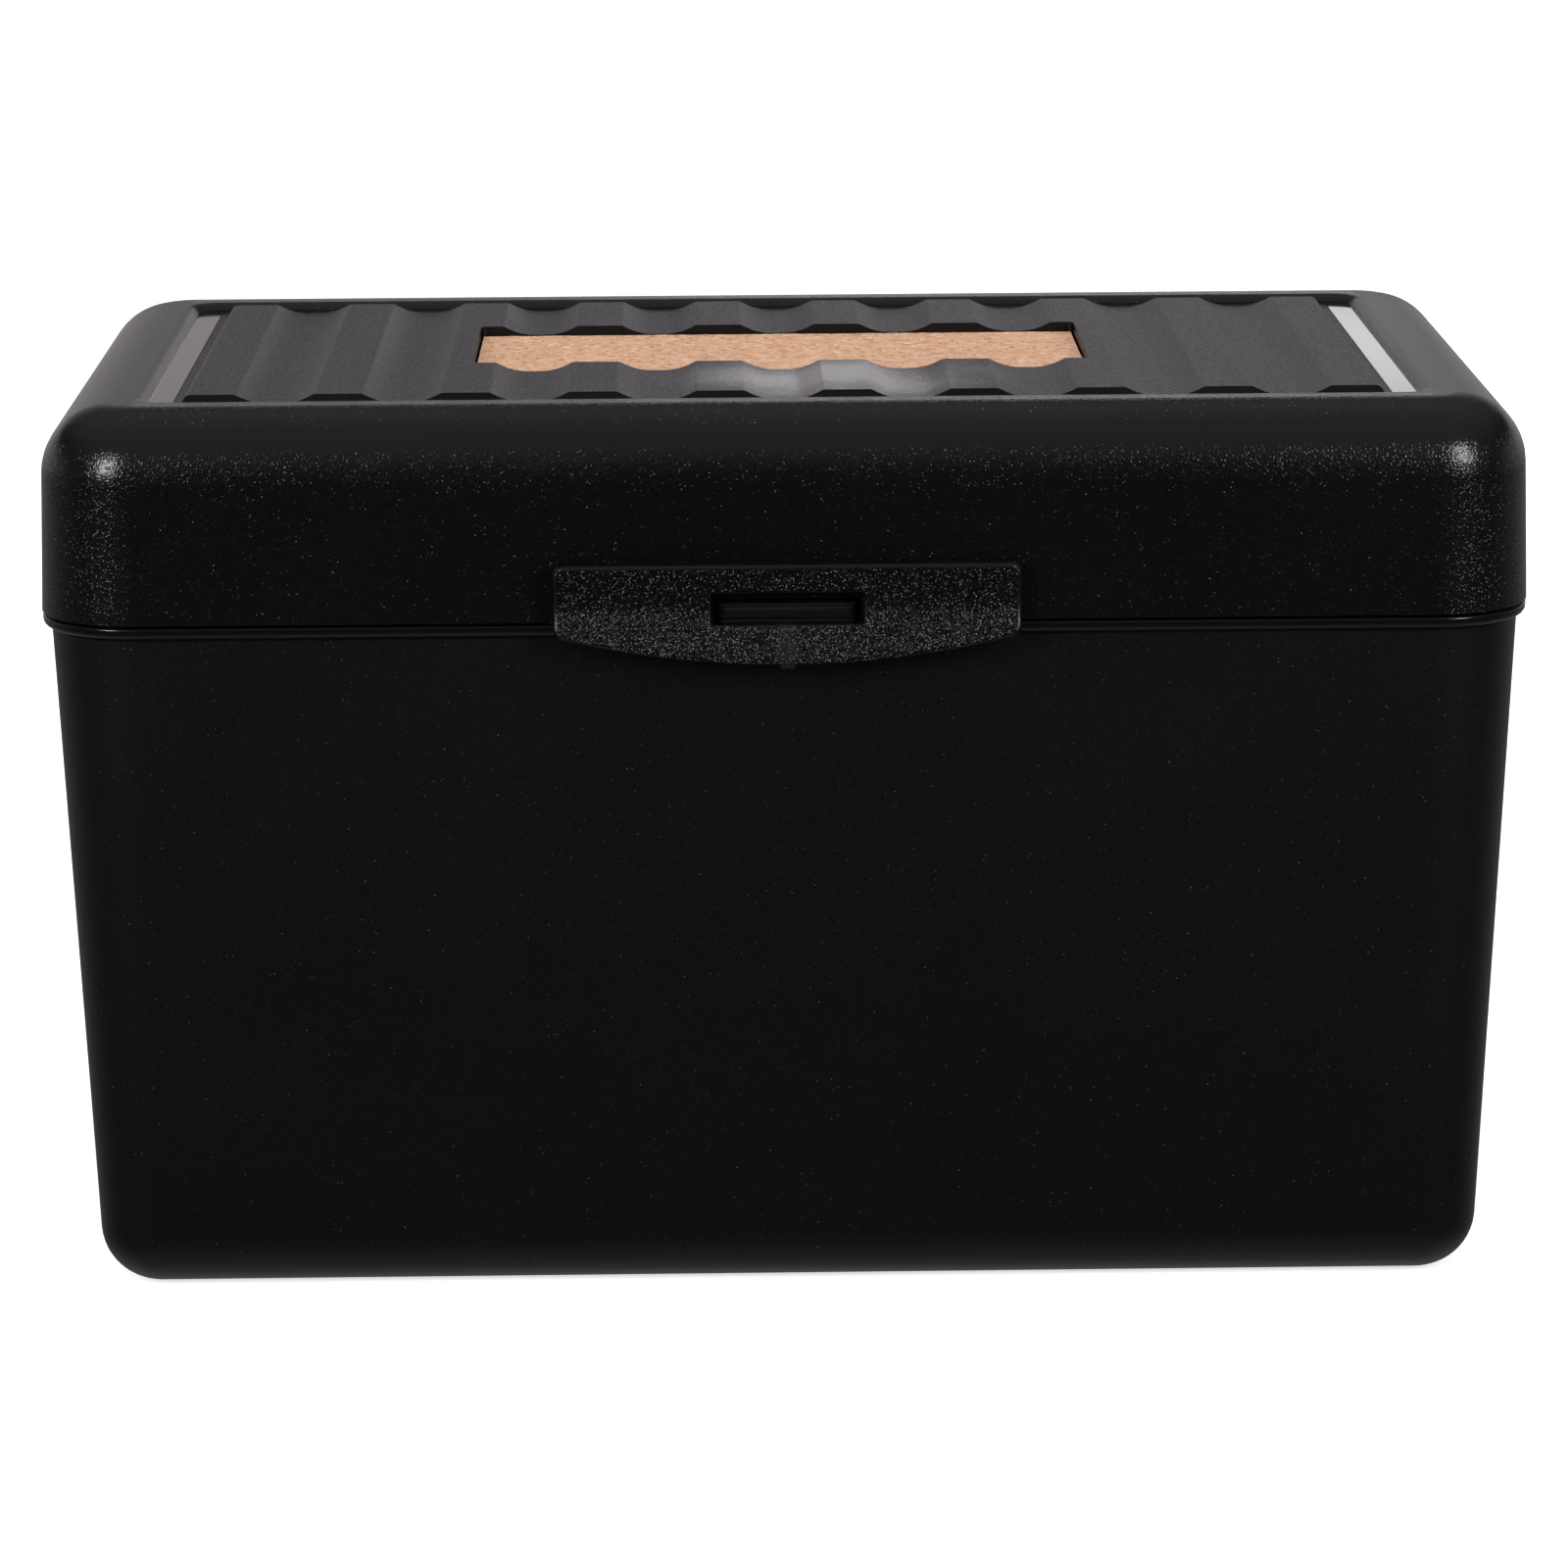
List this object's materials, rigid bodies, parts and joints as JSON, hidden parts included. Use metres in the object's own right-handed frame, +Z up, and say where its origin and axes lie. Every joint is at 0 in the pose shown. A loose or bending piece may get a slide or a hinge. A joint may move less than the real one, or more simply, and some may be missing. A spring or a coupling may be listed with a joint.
{
  "type": "cash box",
  "caption": "Hinged black plastic cash box: drafted tub, grained lid with a corrugated insert and cork pad on top, and a wide front snap clasp.",
  "frame": {"origin": "middle of the flat base", "axes": "+X to the box's right, +Y to its hinged back, +Z up"},
  "size_m": [0.2, 0.1248, 0.1229],
  "materials": {
    "tub_plastic": "fine matte moulded polypropylene, smooth at the rim",
    "lid_plastic": "leather-like moulded grain",
    "panel_plastic": "fine matte moulded insert",
    "clasp_plastic": "coarse sparkling moulded grain",
    "cork": "agglomerated cork sheet",
    "pin_steel": "drawn wire",
    "adhesive_tape": "double-sided film"
  },
  "bodies": {
    "body": {"body_tub": "tub_plastic", "hinge_pin_left": "pin_steel", "hinge_pin_right": "pin_steel"},
    "lid": {"lid_shell": "lid_plastic", "corrugated_panel": "panel_plastic", "panel_tape": "adhesive_tape", "cork_pad": "cork", "cork_tape": "adhesive_tape", "clasp_pin": "pin_steel"},
    "clasp": {"clasp": "clasp_plastic"}
  },
  "joints": [
    {"name": "lid_hinge", "type": "hinge", "parent": "body", "child": "lid", "pos_m": [0, 0.0604, 0.0946], "axis": [-1, 0, 0], "range_deg": [0, 105]},
    {"name": "clasp_swing", "type": "hinge", "parent": "lid", "child": "clasp", "pos_m": [0, -0.0555, 0.1008], "axis": [-1, 0, 0], "range_deg": [0, 25]}
  ]
}
